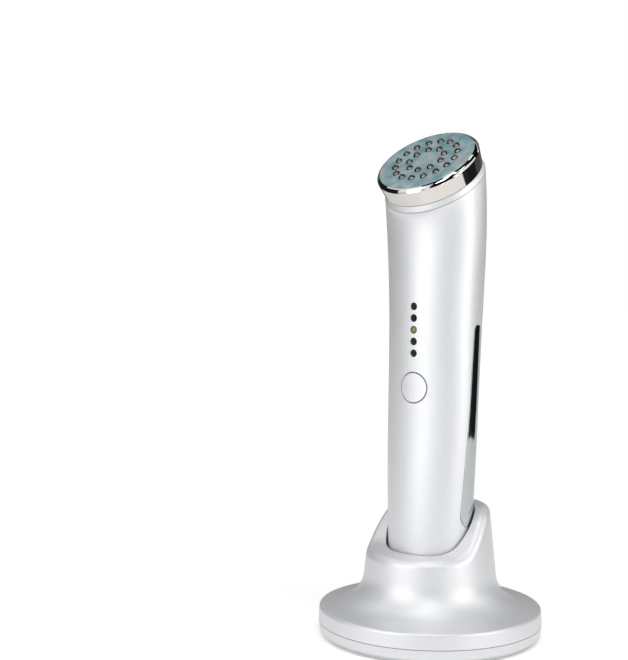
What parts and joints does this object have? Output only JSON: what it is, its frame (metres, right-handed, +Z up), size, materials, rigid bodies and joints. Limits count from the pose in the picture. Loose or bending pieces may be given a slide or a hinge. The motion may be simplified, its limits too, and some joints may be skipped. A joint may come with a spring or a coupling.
{
  "type": "infrared facial device",
  "caption": "Handheld light-therapy facial device with a tilted round LED head, thumb button and chrome side trims, parked in a round flared charging stand.",
  "frame": {"origin": "on the floor under the middle of the stand", "axes": "+Z up along the handle, -Y towards the front with the button, +X to the device's right seen from the front"},
  "size_m": [0.093, 0.093, 0.2103],
  "materials": {
    "silver_paint": "satin metallic paint over moulded plastic",
    "chrome_plate": "polished plating",
    "treatment_plate": "satin blue-grey moulding",
    "clear_epoxy": "clear polished dome",
    "green_epoxy": "tinted polished dome, unlit",
    "yellow_epoxy": "tinted polished dome, unlit",
    "red_epoxy": "tinted polished dome, unlit",
    "circuit_board": "solder mask",
    "black_plastic": "moulded",
    "white_plastic": "moulded",
    "zinc_steel": "zinc plated",
    "gold_plate": "gold plated",
    "cell_wrap": "shrink wrap over a steel can",
    "foam": "closed-cell foam",
    "lead_sleeve": "soft insulation",
    "rubber": "matt moulded"
  },
  "bodies": {
    "stand": {"stand_shell": "silver_paint", "stand_base": "silver_paint", "rubber_feet": "rubber", "base_screws": "zinc_steel", "charge_board": "circuit_board", "charge_board_screws": "zinc_steel", "power_jack": "black_plastic", "jack_pin": "gold_plate", "pin_barrels": "gold_plate", "pin_spring_left": "zinc_steel", "pin_spring_right": "zinc_steel"},
    "handset": {"front_shell": "silver_paint", "rear_shell": "silver_paint", "side_trim_left": "chrome_plate", "side_trim_right": "chrome_plate", "end_cap": "silver_paint", "charge_pads": "gold_plate", "end_cap_screws": "zinc_steel", "head_collar": "silver_paint", "head_bezel": "chrome_plate", "face_plate": "treatment_plate", "outer_led_ring": "clear_epoxy", "inner_led_ring": "clear_epoxy", "led_board": "circuit_board", "led_board_screws": "zinc_steel", "neck_screws": "zinc_steel", "head_lead": "lead_sleeve", "tact_switch": "black_plastic", "indicator_green": "green_epoxy", "indicator_yellow": "yellow_epoxy", "indicator_red": "red_epoxy", "indicator_holder": "black_plastic", "main_board": "circuit_board", "board_screws": "zinc_steel", "board_chips": "black_plastic", "head_connector": "white_plastic", "battery_cell": "cell_wrap", "foam_pad": "foam", "battery_leads": "lead_sleeve", "contact_leads": "lead_sleeve"},
    "button": {"power_button": "silver_paint", "switch_plunger": "black_plastic"},
    "pin_left": {"contact_pin_left": "gold_plate"},
    "pin_right": {"contact_pin_right": "gold_plate"}
  },
  "joints": [
    {"name": "handset_lift", "type": "slide", "parent": "stand", "child": "handset", "axis": [0, 0, 1], "range_m": [0, 0.06]},
    {"name": "power_button_press", "type": "slide", "parent": "handset", "child": "button", "axis": [0, 1, 0], "range_m": [0, 0.0008], "stiffness_N_per_m": 2000},
    {"name": "contact_pin_left_press", "type": "slide", "parent": "stand", "child": "pin_left", "axis": [0, 0, -1], "range_m": [0, 0.0008], "stiffness_N_per_m": 600, "deforming": ["pin_spring_left"]},
    {"name": "contact_pin_right_press", "type": "slide", "parent": "stand", "child": "pin_right", "axis": [0, 0, -1], "range_m": [0, 0.0008], "stiffness_N_per_m": 600, "deforming": ["pin_spring_right"]}
  ]
}
